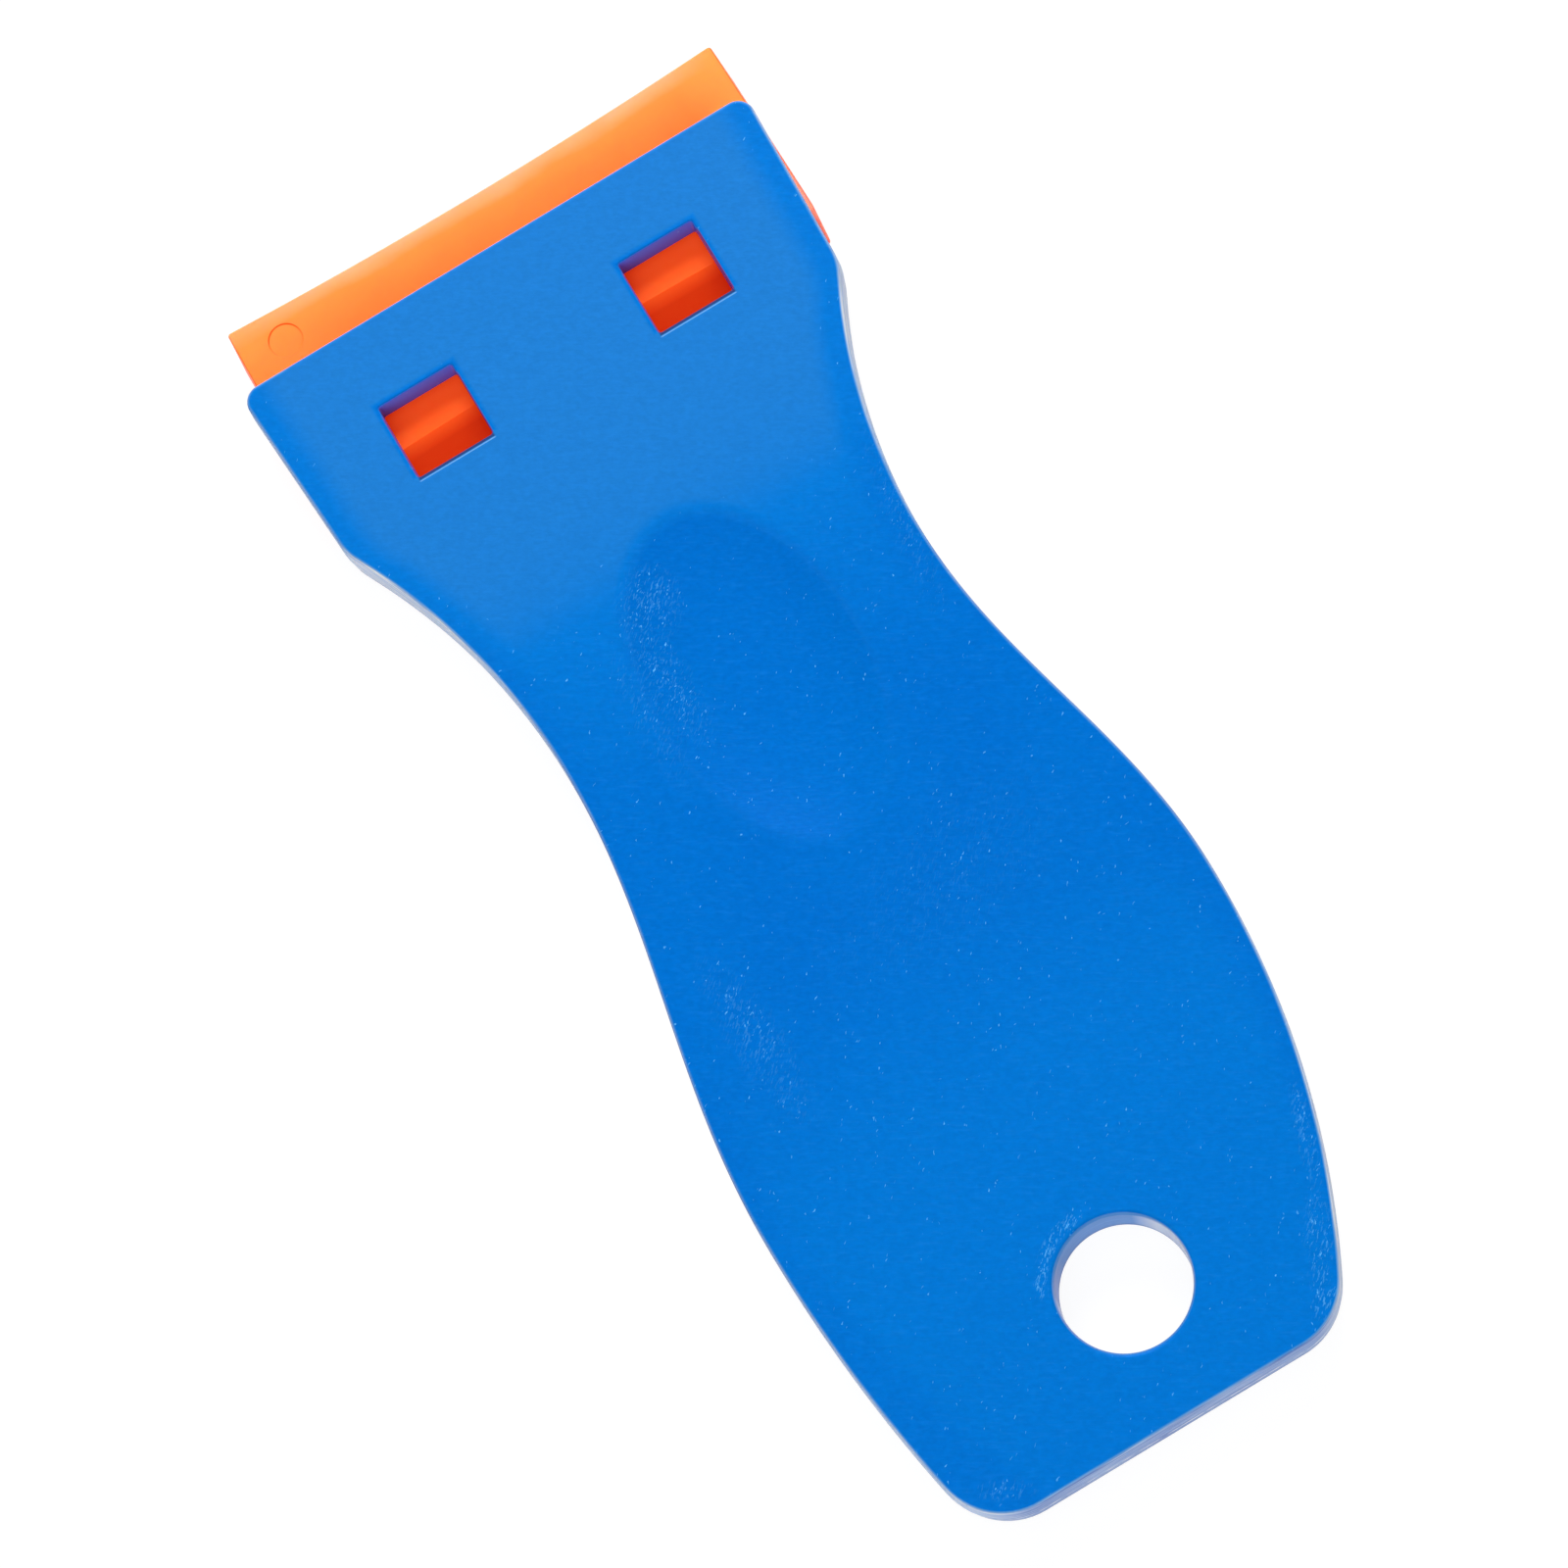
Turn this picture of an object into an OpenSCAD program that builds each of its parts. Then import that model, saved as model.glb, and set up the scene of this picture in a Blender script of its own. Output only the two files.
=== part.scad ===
// Razor blade scraper: a one-piece moulded handle with a push-fit plastic blade.
// Millimetres. The origin is in the middle of the hanging hole.
// +Y points to the blade, +X to the right when the windows are seen, +Z up to that face.

/* [Blade] */
// Length of the blade along its cutting edges, across the tool
blade_l = 40; // [36:0.5:50]
// How far each end of the blade stands out past that between its bevels
end_flare = 0.2; // [0.05:0.05:0.4]
// Width of the blade, from cutting edge to cutting edge
blade_w = 17; // [15:0.5:20]
// Thickness of the blade between its bevels
blade_t = 1.1; // [0.8:0.05:1.6]
// How far the middle of each cutting edge lies behind its ends
edge_sag = 0.5; // [0.2:0.05:1]
// Thickness left at a cutting edge
edge_t = 0.15; // [0.1:0.01:0.3]
// Width of the bevel behind each cutting edge
bevel_w = 2.5; // [1.5:0.1:3.5]
// Radius of the blade's corners
blade_corner_r = 0.4; // [0.2:0.1:1.5]
// How far the blade sits to the right of the middle of the slot
blade_shift = 0.6; // [0:0.01:0.8]

/* [Head] */
// How far the head stands out past each end of the blade
head_margin = 0.9; // [0.6:0.1:3]
// How much narrower each side of the head is at the shoulder
head_taper = 0.7; // [0.2:0.1:1.2]
// From the hanging hole to the front of the head
front_y = 86.15; // [82:0.05:100]
// Radius of the head's front corners
front_corner_r = 1.4; // [0.8:0.05:2.5]
// Radius of the shoulders
shoulder_r = 4.4; // [1:0.2:6]
// Thickness of the plate above the blade
plate_t = 2.3; // [1.8:0.1:3]
// Depth of the blade slot behind the front of the head
slot_depth = 11.85; // [10:0.05:13]
// Clearance of the blade in the slot, on each face and behind it
slot_clearance = 0.04; // [0.02:0.01:0.08]

/* [Windows and fingers] */
// Width of a window and of the finger below it
window_w = 6; // [4:0.5:8]
// Length of a window and of the finger below it
window_l = 6; // [5:0.5:7]
// Distance between the middles of the windows
window_pitch = 19.6; // [16:0.2:24]
// How far the windows reach back past the rear wall of the slot
window_relief = 0.4; // [0.2:0.1:1]
// Thickness of a finger
finger_t = 1.12; // [0.9:0.02:1.6]
// Height of the lead-in at a finger's tip
finger_lead = 0.4; // [0.2:0.05:0.6]

/* [Grip] */
// Half width of the waist on the left
waist_left = 14.65; // [12:0.05:16]
// Distance of the left waist from the hanging hole
waist_left_y = 50.4; // [46:0.1:54]
// Radius of the hollow from the left waist to the shoulder
waist_left_r = 45.5; // [38:0.5:60]
// Half width of the waist on the right
waist_right = 15.15; // [12:0.05:16]
// Distance of the right waist from the hanging hole
waist_right_y = 51.9; // [46:0.1:54]
// Radius of the hollow from the right waist to the shoulder
waist_right_r = 41.5; // [37:0.5:60]
// Half width of the swelling on the left
swell_left = 19.25; // [17:0.05:22]
// Distance of the left swelling from the hanging hole
swell_left_y = 13.8; // [10:0.2:20]
// Radius from the left swelling towards the end
swell_left_r = 89; // [60:1:110]
// Half width of the swelling on the right
swell_right = 19.75; // [17:0.05:22]
// Distance of the right swelling from the hanging hole
swell_right_y = 21.8; // [16:0.2:28]
// Radius from the right swelling towards the end
swell_right_r = 60; // [56:1:100]
// From the hanging hole to the end of the grip
end_y = 9.75; // [8:0.05:14]
// Radius of the grip's end corners
end_corner_r = 5.2; // [3:0.2:7]
// Radius of the rounding along all top and bottom edges
edge_r = 0.4; // [0.2:0.05:0.6]
// How far the side walls lean in from their middle to the top and the bottom
side_draft = 0.1; // [0.02:0.01:0.25]

/* [Thumb recess] */
// How far the recess sits to the right of the hanging hole
recess_x = 0.3; // [-1:0.1:1]
// Distance of the recess from the hanging hole
recess_y = 49; // [44:0.5:54]
// Length of the recess
recess_l = 26.6; // [20:0.2:30]
// Width of the recess
recess_w = 15.4; // [10:0.2:18]
// Depth of the recess
recess_depth = 1.1; // [0.3:0.05:1.5]

/* [Hanging hole] */
// Radius of the hole
hole_r = 4.6; // [3:0.1:5.5]
// Radius of the rounding at both rims of the hole
hole_rim_r = 0.4; // [0.2:0.05:0.6]

/* [Smoothness] */
// Points along each curve of the outline
curve_steps = 22; // [12:1:30]
// Points along each corner of the outline
corner_steps = 7; // [4:1:10]
// Rings along each rounded edge
edge_steps = 3; // [2:1:4]

/* [Hidden] */

$fn = 64;

// One overrun serves every cut.
overrun = 1;

// The stack of the head, from the underside up: finger, blade, plate.
blade_z = finger_t + slot_clearance;
plate_z = blade_z + blade_t + slot_clearance;
body_t = plate_z + plate_t;
mid_z = body_t / 2;

// The head follows the blade's length, and its slot the blade's place.
head_half = blade_l / 2 + head_margin;
shoulder_half = head_half - head_taper;
slot_y = front_y - slot_depth;
window_rear_y = slot_y - window_relief;
blade_rear_y = slot_y + slot_clearance;

// Rings and sides of the thumb recess, and how far its cut reaches, as a share of its size
recess_rings = 9;
recess_sides = 48;
recess_reach_share = 1.04;

// Small helpers for points in the plane.
function unit(v) = v / norm(v);
function left_of(v) = [-v[1], v[0]];
function along_arc(centre, r, from, to, steps) =
    [for (i = [0:steps]) centre + r * [cos(from + (to - from) * i / steps), sin(from + (to - from) * i / steps)]];

// Points of a fillet of radius r in the corner at p, which the outline enters in
// direction d1 and leaves in direction d2, turning left.
function corner(p, d1, d2, r, steps) =
    let (a1 = atan2(d1[1], d1[0]) - 90)
    let (turn = acos(d1 * d2))
    let (centre = p - d1 * r * tan(turn / 2) + left_of(d1) * r)
    along_arc(centre, r, a1, a1 + turn, steps);

// One side of the grip, as seen with its outside to the right, from the end corner up to
// the head's front corner. All its arcs are tangent where they meet.
function side_points(waist, waist_y, waist_r, swell, swell_y, swell_r) =
    let (swell_c = [swell - swell_r, swell_y])
    let (reach = end_corner_r - end_y - swell_y)
    let (corner_c = swell_c + [sqrt(pow(swell_r - end_corner_r, 2) - reach * reach), reach])
    let (meet = atan2(corner_c[1] - swell_c[1], corner_c[0] - swell_c[0]))
    let (waist_c = [waist + waist_r, waist_y])
    let (rise = acos((waist_c[0] - shoulder_half) / waist_r))
    let (shoulder = waist_c + waist_r * [-cos(rise), sin(rise)])
    let (flank = unit([head_half, front_y] - shoulder))
    let (leave = [sin(rise), cos(rise)])
    let (turn = acos(leave * flank))
    let (lead = asin(shoulder_r * tan(turn / 2) / waist_r))
    concat(
        along_arc(corner_c, end_corner_r, -90, meet, corner_steps),
        [for (i = [1:curve_steps]) swell_c + swell_r * [cos(meet * (1 - i / curve_steps)), sin(meet * (1 - i / curve_steps))]],
        [for (i = [1:curve_steps])
            let (share = i / curve_steps)
            [swell + (waist - swell) * (1 - cos(180 * share)) / 2, swell_y + (waist_y - swell_y) * share]],
        [for (i = [1:curve_steps - 1])
            let (angle = (rise - lead) * i / curve_steps)
            waist_c + waist_r * [-cos(angle), sin(angle)]],
        corner(shoulder, leave, flank, shoulder_r, corner_steps),
        corner([head_half, front_y], flank, [-1, 0], front_corner_r, corner_steps));

// The whole outline, anticlockwise: up the right side and back down the left.
right_points = side_points(waist_right, waist_right_y, waist_right_r, swell_right, swell_right_y, swell_right_r);
left_points = side_points(waist_left, waist_left_y, waist_left_r, swell_left, swell_left_y, swell_left_r);
outline = concat(right_points, [for (i = [len(left_points) - 1:-1:0]) [-left_points[i][0], left_points[i][1]]]);

// The outline moved inwards, square to itself at each point.
function inset_outline(by) =
    [for (i = [0:len(outline) - 1])
        let (before = outline[(i + len(outline) - 1) % len(outline)])
        let (after = outline[(i + 1) % len(outline)])
        outline[i] + left_of(unit(after - before)) * by];

// The side wall's rings from the underside to the top, each [inset, height].
wall_rings = concat(
    [for (i = [0:edge_steps])
        [side_draft + edge_r * (1 - sin(90 * i / edge_steps)), edge_r * (1 - cos(90 * i / edge_steps))]],
    [[0, mid_z]],
    [for (i = [0:edge_steps])
        [side_draft + edge_r * (1 - cos(90 * i / edge_steps)), body_t - edge_r * (1 - sin(90 * i / edge_steps))]]);

// Joins rings of equally many points, the lowest first, into one closed solid. Each ring runs
// anticlockwise up one side and back down the other, point for point, so its two ends are
// closed by strips from side to side.
module lofted(rings) {
    count = len(rings[0]);
    top = len(rings) - 1;
    strip = [for (i = [0:count / 2 - 2]) for (half = [0, 1])
        half == 0
            ? [i, i + 1, count - 2 - i]
            : [i, count - 2 - i, count - 1 - i]];
    wall = [for (k = [0:top - 1]) for (i = [0:count - 1]) for (half = [0, 1])
        let (next = (i + 1) % count)
        half == 0
            ? [k * count + i, (k + 1) * count + i, (k + 1) * count + next]
            : [k * count + i, (k + 1) * count + next, k * count + next]];
    lid = [for (face = strip) [for (i = [2:-1:0]) top * count + face[i]]];
    polyhedron(
        points = [for (ring = rings) for (p = ring) p],
        faces = concat(strip, wall, lid),
        convexity = 6);
}

// Everything is laid out from the underside up and then set about the middle plane.
module about_mid_plane() {
    translate([0, 0, -mid_z])
        children();
}

module grip_body() {
    lofted([for (ring = wall_rings) [for (p = inset_outline(ring[0])) [p[0], p[1], ring[1]]]]);
}

// The space of the thumb recess: an oval dish, whose depth falls off with the square of the
// distance from its middle. It reaches a little past its rim, where it stands above the face.
module recess_cut() {
    rings = [for (k = [1:recess_rings])
        let (share = recess_reach_share * k / recess_rings)
        [share, -recess_depth * (1 - share * share)]];
    closed_rings = concat(rings, [[recess_reach_share, overrun]]);
    translate([recess_x, recess_y, body_t])
        lofted([for (ring = closed_rings)
            [for (i = [0:recess_sides - 1])
                let (angle = 360 * i / recess_sides)
                [recess_w / 2 * ring[0] * cos(angle), recess_l / 2 * ring[0] * sin(angle), ring[1]]]]);
}

// What rounds the lower rim of the hanging hole.
module rim_cut() {
    rotate_extrude()
        difference() {
            translate([0, -overrun])
                square([hole_r + hole_rim_r, hole_rim_r + overrun]);
            translate([hole_r + hole_rim_r, hole_rim_r])
                circle(r = hole_rim_r);
        }
}

// The hanging hole: a true bore with both rims rounded.
module hole_cut() {
    translate([0, 0, -overrun])
        cylinder(r = hole_r, h = body_t + 2 * overrun);
    rim_cut();
    translate([0, 0, body_t])
        mirror([0, 0, 1])
            rim_cut();
}

// The slot is open below, at the front and at both ends.
module slot_cut() {
    slot_w = 2 * (head_half + overrun);
    translate([-slot_w / 2, slot_y, -overrun])
        cube([slot_w, slot_depth + overrun, plate_z + overrun]);
}

// A window goes down to the top of its finger.
module window_cut() {
    translate([-window_w / 2, window_rear_y, finger_t])
        cube([window_w, window_l, body_t - finger_t + overrun]);
}

// A finger holds the blade up against the plate. Its tip slopes so that a blade finds its way in.
module finger() {
    root_y = window_rear_y - finger_t;
    tip_y = window_rear_y + window_l;
    translate([-window_w / 2, 0, 0])
        rotate([90, 0, 90])
            linear_extrude(window_w)
                polygon([
                    [root_y, 0],
                    [tip_y - finger_lead / 2, 0],
                    [tip_y, finger_lead / 2],
                    [tip_y, finger_t - finger_lead],
                    [tip_y - finger_lead, finger_t],
                    [root_y, finger_t]]);
}

// Places its child at both windows.
module at_windows() {
    for (side = [-1, 1])
        translate([side * window_pitch / 2, 0, 0])
            children();
}

module handle() {
    color("royalblue")
        about_mid_plane()
            difference() {
                union() {
                    difference() {
                        grip_body();
                        slot_cut();
                    }
                    at_windows() finger();
                }
                at_windows() window_cut();
                recess_cut();
                hole_cut();
            }
}

// The blade's places from end to end, each [distance from its middle, half width there]: the
// cutting edges are hollow between the corners, which are round.
inner_l = blade_l / 2 - blade_corner_r;
inner_w = blade_w / 2 - blade_corner_r;
blade_corner = along_arc([inner_l, inner_w], blade_corner_r, 90, 0, corner_steps);
blade_hollow = [for (i = [1 - curve_steps:curve_steps - 1])
    let (share = i / curve_steps)
    [share * inner_l, blade_w / 2 - edge_sag * (1 - share * share)]];
blade_places = concat(
    [for (i = [corner_steps:-1:0]) [-blade_corner[i][0], blade_corner[i][1]]],
    blade_hollow,
    blade_corner);

// The blade's section at one place. The bevels lie on opposite faces, the front one below and
// the rear one above, so the blade is the same when it is turned end for end and over. The
// lines where the bevels start are a little longer than the cutting edges.
function blade_section(x, half_w) =
    let (line_x = x * (1 + end_flare / (blade_l / 2)))
    [[x, -half_w, 0],
        [line_x, half_w - bevel_w, 0],
        [x, half_w, blade_t - edge_t],
        [x, half_w, blade_t],
        [line_x, bevel_w - half_w, blade_t],
        [x, -half_w, edge_t]];

module blade() {
    color("darkorange")
        about_mid_plane()
            translate([blade_shift, blade_rear_y + blade_w / 2, blade_z])
                lofted([for (place = blade_places) blade_section(place[0], place[1])]);
}

handle();
blade();
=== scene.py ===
# %% [markdown]
# # A push-fit blade scraper
#
# The real tool is two mouldings. A flat, waisted handle is moulded in blue polypropylene, and a
# double-edged plastic blade slides into a slot under its head. This lesson builds both as
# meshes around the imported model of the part, then gives them the finish of the real plastics.
#
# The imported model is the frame: it says where everything is. It could be shown as it is, with
# better materials, but its edges are cut into few facets. So both pieces are modelled again
# here, from the same sizes, with finer curves and with the small rounded rims that catch light.

# %% Load the frame
import math

import bpy
from mathutils import Matrix, Vector


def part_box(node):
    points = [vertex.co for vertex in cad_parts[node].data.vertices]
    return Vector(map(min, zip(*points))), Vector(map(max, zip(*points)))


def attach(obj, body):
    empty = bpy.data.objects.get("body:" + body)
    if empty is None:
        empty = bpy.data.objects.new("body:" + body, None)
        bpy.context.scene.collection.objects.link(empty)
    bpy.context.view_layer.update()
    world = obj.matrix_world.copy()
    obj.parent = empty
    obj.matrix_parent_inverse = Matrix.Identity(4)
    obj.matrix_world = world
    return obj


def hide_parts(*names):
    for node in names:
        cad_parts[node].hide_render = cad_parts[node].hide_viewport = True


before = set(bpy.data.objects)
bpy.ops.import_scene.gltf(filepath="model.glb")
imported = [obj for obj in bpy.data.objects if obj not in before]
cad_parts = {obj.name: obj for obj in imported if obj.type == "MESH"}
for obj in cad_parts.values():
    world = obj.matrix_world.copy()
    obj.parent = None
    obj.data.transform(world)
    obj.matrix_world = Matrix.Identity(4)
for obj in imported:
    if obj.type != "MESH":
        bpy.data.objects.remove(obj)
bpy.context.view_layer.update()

# Sizes below are in millimetres, and Blender works in metres.
MM = 0.001
handle_low, handle_high = (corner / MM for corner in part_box("handle"))
blade_low, blade_high = (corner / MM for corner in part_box("blade"))
print("handle, mm:", [round(x, 2) for x in handle_high - handle_low])
print("blade, mm:", [round(x, 2) for x in blade_high - blade_low])

# %% [markdown]
# ## Points on arcs
#
# The outline of the handle is a chain of arcs, each tangent to the next, as a designer draws
# it. It could be traced as a long list of points, but then nothing could be changed. Here an
# arc is a centre, a radius and two angles, and one helper walks along it.

# %% Arc helpers
def polar(centre, radius, degrees):
    angle = math.radians(degrees)
    return Vector((centre[0] + radius * math.cos(angle), centre[1] + radius * math.sin(angle)))


def arc(centre, radius, start, end, steps):
    return [polar(centre, radius, start + (end - start) * i / steps) for i in range(steps + 1)]


def left_of(v):
    return Vector((-v[1], v[0]))


def fillet(point, enter, leave, radius, steps):
    """The rounding of a corner that is entered and left in two directions, turning left."""
    start = math.degrees(math.atan2(enter.y, enter.x)) - 90
    turn = math.degrees(enter.angle(leave))
    centre = point - enter * radius * math.tan(math.radians(turn / 2)) + left_of(enter) * radius
    return arc(centre, radius, start, start + turn, steps)


# %% [markdown]
# ## The outline of the handle
#
# The two sides of the real handle aren't mirror images: the right side swells nearer to the
# head and then draws in, and the left side runs nearly straight down. So one function draws a
# side from seven sizes, and it is called once for each side.

# %% Sizes of the handle
# The outline, from the hanging hole at the origin
FRONT_Y = handle_high.y
END_Y = handle_low.y
HEAD_HALF = 20.85
FRONT_CORNER_R = 1.4
SHOULDER_R = 4.4
END_CORNER_R = 5.2
RIGHT = dict(
    waist=15.15, waist_y=51.6, waist_r=42.2, swell=19.76, swell_y=21.8, swell_r=61.2, shoulder=20.2
)
LEFT = dict(
    waist=14.6, waist_y=49.9, waist_r=47.0, swell=19.2, swell_y=14.8, swell_r=105.0, shoulder=20.0
)

# Points along a long curve and along a corner
CURVE_STEPS = 64
CORNER_STEPS = 14


# %% Draw one side
def side_points(waist, waist_y, waist_r, swell, swell_y, swell_r, shoulder):
    """Points from the end of the grip up to the front of the head, outside to the right."""
    swell_c = Vector((swell - swell_r, swell_y))
    reach = END_Y + END_CORNER_R - swell_y
    corner_c = swell_c + Vector((math.sqrt((swell_r - END_CORNER_R) ** 2 - reach**2), reach))
    meet = math.degrees(math.atan2(corner_c.y - swell_c.y, corner_c.x - swell_c.x))
    waist_c = Vector((waist + waist_r, waist_y))
    rise = math.degrees(math.acos((waist_c.x - shoulder) / waist_r))
    corner = polar(waist_c, waist_r, 180 - rise)
    front = Vector((HEAD_HALF, FRONT_Y))
    flank = (front - corner).normalized()
    leave = Vector((math.sin(math.radians(rise)), math.cos(math.radians(rise))))
    lead = math.degrees(math.asin(SHOULDER_R * math.tan(leave.angle(flank) / 2) / waist_r))

    points = arc(corner_c, END_CORNER_R, -90, meet, CORNER_STEPS)
    points += arc(swell_c, swell_r, meet, 0, CURVE_STEPS)[1:]
    for i in range(1, CURVE_STEPS + 1):
        share = i / CURVE_STEPS
        ease = (1 - math.cos(math.pi * share)) / 2
        x = swell + (waist - swell) * ease
        points.append(Vector((x, swell_y + (waist_y - swell_y) * share)))
    points += arc(waist_c, waist_r, 180, 180 - rise + lead, CURVE_STEPS)[1:-1]
    points += fillet(corner, leave, flank, SHOULDER_R, CORNER_STEPS)
    points += fillet(front, flank, Vector((-1, 0)), FRONT_CORNER_R, CORNER_STEPS)
    return points


right_side = side_points(**RIGHT)
left_side = side_points(**LEFT)
outline = right_side + [Vector((-p.x, p.y)) for p in reversed(left_side)]
print("outline points:", len(outline))


# %% Move the outline inwards
def inset(points, by):
    """The points moved square to their outline. A negative distance moves them outwards."""
    moved = []
    for i, point in enumerate(points):
        along = (points[(i + 1) % len(points)] - points[i - 1]).normalized()
        moved.append(point + left_of(along) * by)
    return moved


# %% [markdown]
# ## Lofting
#
# A moulding has no sharp outer edge: the tool's corners are rounded, and its walls lean a
# little so that it leaves the mould. Blender's Bevel modifier could round a plain extrusion,
# but here the rounding and the lean are one profile, so the body is lofted: the outline is
# repeated at each height of that profile, moved inwards by the profile's own depth.

# %% Loft rings into a solid
def stacked(ring, levels):
    """The ring at every level. A level is how far the ring has grown, and its height."""
    return [[(*p, z) for p in ring(grow)] for grow, z in levels]


def placed(name, data):
    """A new object in the scene."""
    new = bpy.data.objects.new(name, data)
    bpy.context.scene.collection.objects.link(new)
    return new


def loft(name, rings):
    """A closed mesh through rings of equal length, the lowest first, each anticlockwise."""
    count = len(rings[0])
    top = (len(rings) - 1) * count
    faces = []
    for k in range(len(rings) - 1):
        for i in range(count):
            j = (i + 1) % count
            faces.append((k * count + i, k * count + j, (k + 1) * count + j, (k + 1) * count + i))
    for i in range(count // 2 - 1):
        strip = (i, i + 1, count - 2 - i, count - 1 - i)
        faces.append(tuple(reversed(strip)))
        faces.append(tuple(top + n for n in strip))
    mesh = bpy.data.meshes.new(name)
    mesh.from_pydata([Vector(p) * MM for ring in rings for p in ring], [], faces)
    mesh.validate()
    return placed(name, mesh)


# %% The body of the handle
UNDERSIDE_Z = handle_low.z
TOP_Z = handle_high.z
EDGE_R = 0.3
SIDE_DRAFT = 0.1
EDGE_STEPS = 6


def quarter(steps):
    """Pairs of sine and cosine along a quarter of a circle."""
    angles = [math.pi / 2 * i / steps for i in range(steps + 1)]
    return [(math.sin(angle), math.cos(angle)) for angle in angles]


edge = quarter(EDGE_STEPS)
profile = [(SIDE_DRAFT + EDGE_R * (1 - s), UNDERSIDE_Z + EDGE_R * (1 - c)) for s, c in edge]
profile += [(0, 0)]
profile += [(SIDE_DRAFT + EDGE_R * (1 - c), TOP_Z - EDGE_R * (1 - s)) for s, c in edge]
handle = loft("scraper_handle", stacked(lambda by: inset(outline, by), profile))
print("handle body faces:", len(handle.data.polygons))

# %% [markdown]
# ## Cutting the slot, the windows and the holes
#
# What the mould's cores leave open is cut with booleans. Each cutter carries the rounding of
# the rim that it leaves: it flares out along a quarter circle where it meets the surface. That
# gives an even rim, where a bevel after the cut would follow every stray edge of the boolean.


# %% Boolean helper
def combine(piece, other, operation):
    """Applies a boolean to the piece and removes the other mesh."""
    cut = piece.modifiers.new(operation.lower(), "BOOLEAN")
    cut.operation = operation
    cut.solver = "EXACT"
    cut.object = other
    apply_modifiers(piece)
    bpy.data.objects.remove(other)


def apply_modifiers(piece):
    bpy.context.view_layer.update()
    shaped = piece.evaluated_get(bpy.context.evaluated_depsgraph_get())
    mesh = bpy.data.meshes.new_from_object(shaped)
    piece.modifiers.clear()
    piece.data = mesh


# %% Rings for the cutters
OVERRUN = 1.0


def rounded_box(centre, size, radius, grow=0.0, steps=5):
    """A ring round a box with round corners, grown outwards all round."""
    half = Vector(size) / 2 - Vector((radius, radius))
    ring = []
    for sx, sy, start in ((1, -1, -90), (1, 1, 0), (-1, 1, 90), (-1, -1, 180)):
        corner = (centre[0] + sx * half.x, centre[1] + sy * half.y)
        ring += arc(corner, radius + grow, start, start + 90, steps)
    return ring


def ellipse(centre, half_w, half_l, sides):
    """A ring round an ellipse, with no point on its long axis."""
    x, y = centre
    angles = [2 * math.pi * (i + 0.5) / sides - math.pi / 2 for i in range(sides)]
    return [Vector((x + half_w * math.cos(a), y + half_l * math.sin(a))) for a in angles]


def flare(top_z, radius, steps=6):
    """How far a cutter has grown at each height, up through a rounded rim and past it."""
    levels = [(radius * (1 - c), top_z - radius * (1 - s)) for s, c in quarter(steps)]
    return levels + [(radius, top_z + OVERRUN)]


# %% [markdown]
# The blade slot is open below, at the front and at both ends. Two square windows go through
# the plate above it. In the mould, the cores that make the windows also shape the upper faces
# of the two fingers that hold the blade, which is why a finger lies under each window.

# %% Slot, windows and fingers
SLOT_DEPTH = 11.85
SLOT_CLEARANCE = 0.04
SLOT_Y = FRONT_Y - SLOT_DEPTH
PLATE_Z = blade_high.z + SLOT_CLEARANCE
FINGER_TOP_Z = blade_low.z - SLOT_CLEARANCE
WINDOW = 6.0
WINDOW_PITCH = 19.6
WINDOW_RELIEF = 0.4
WINDOW_CORNER_R = 0.2
WINDOW_RIM_R = 0.16
FINGER_LEAD = 0.4
FINGER_SIDE_GAP = 0.05
# The window's core stops this far below the finger's face, so that the two never share a plane.
CORE_DROP = 0.02

slot_middle = (0, SLOT_Y + (SLOT_DEPTH + OVERRUN) / 2)
slot_size = (2 * (HEAD_HALF + OVERRUN), SLOT_DEPTH + OVERRUN)
slot_ring = rounded_box(slot_middle, slot_size, WINDOW_CORNER_R)
slot_levels = [(0, UNDERSIDE_Z - OVERRUN), (0, PLATE_Z)]
combine(handle, loft("slot_cutter", stacked(lambda _: slot_ring, slot_levels)), "DIFFERENCE")

window_rear_y = SLOT_Y - WINDOW_RELIEF
window_levels = [(0, FINGER_TOP_Z - CORE_DROP)] + flare(TOP_Z, WINDOW_RIM_R)
for side in (-1, 1):
    middle = (side * WINDOW_PITCH / 2, window_rear_y + WINDOW / 2)
    rings = stacked(
        lambda grow: rounded_box(middle, (WINDOW, WINDOW), WINDOW_CORNER_R, grow), window_levels
    )
    combine(handle, loft("window_cutter", rings), "DIFFERENCE")

for side in (-1, 1):
    root_y = window_rear_y - (FINGER_TOP_Z - UNDERSIDE_Z)
    tip_y = window_rear_y + WINDOW
    section = [
        (root_y, UNDERSIDE_Z),
        (tip_y - FINGER_LEAD / 2, UNDERSIDE_Z),
        (tip_y, UNDERSIDE_Z + FINGER_LEAD / 2),
        (tip_y, FINGER_TOP_Z - FINGER_LEAD),
        (tip_y - FINGER_LEAD, FINGER_TOP_Z),
        (root_y, FINGER_TOP_Z),
    ]
    half = WINDOW / 2 - FINGER_SIDE_GAP
    rings = [[(side * WINDOW_PITCH / 2 + x, *p) for p in section] for x in (-half, half)]
    combine(handle, loft("finger", rings), "UNION")
print("handle faces after the slot:", len(handle.data.polygons))

# %% [markdown]
# ## The hanging hole and the thumb recess
#
# The hole is a straight bore. Its upper rim is rounded, and the lower one is left nearly sharp,
# which shows as a crisp line through the hole. The thumb recess is a shallow oval dish,
# whose depth falls off with the square of the distance from its middle. A scaled sphere would
# have been quicker, but its rim would be a hard line. Here the last rings of the cut run out
# more and more level before they pass the face, so the rim is soft.

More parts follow.
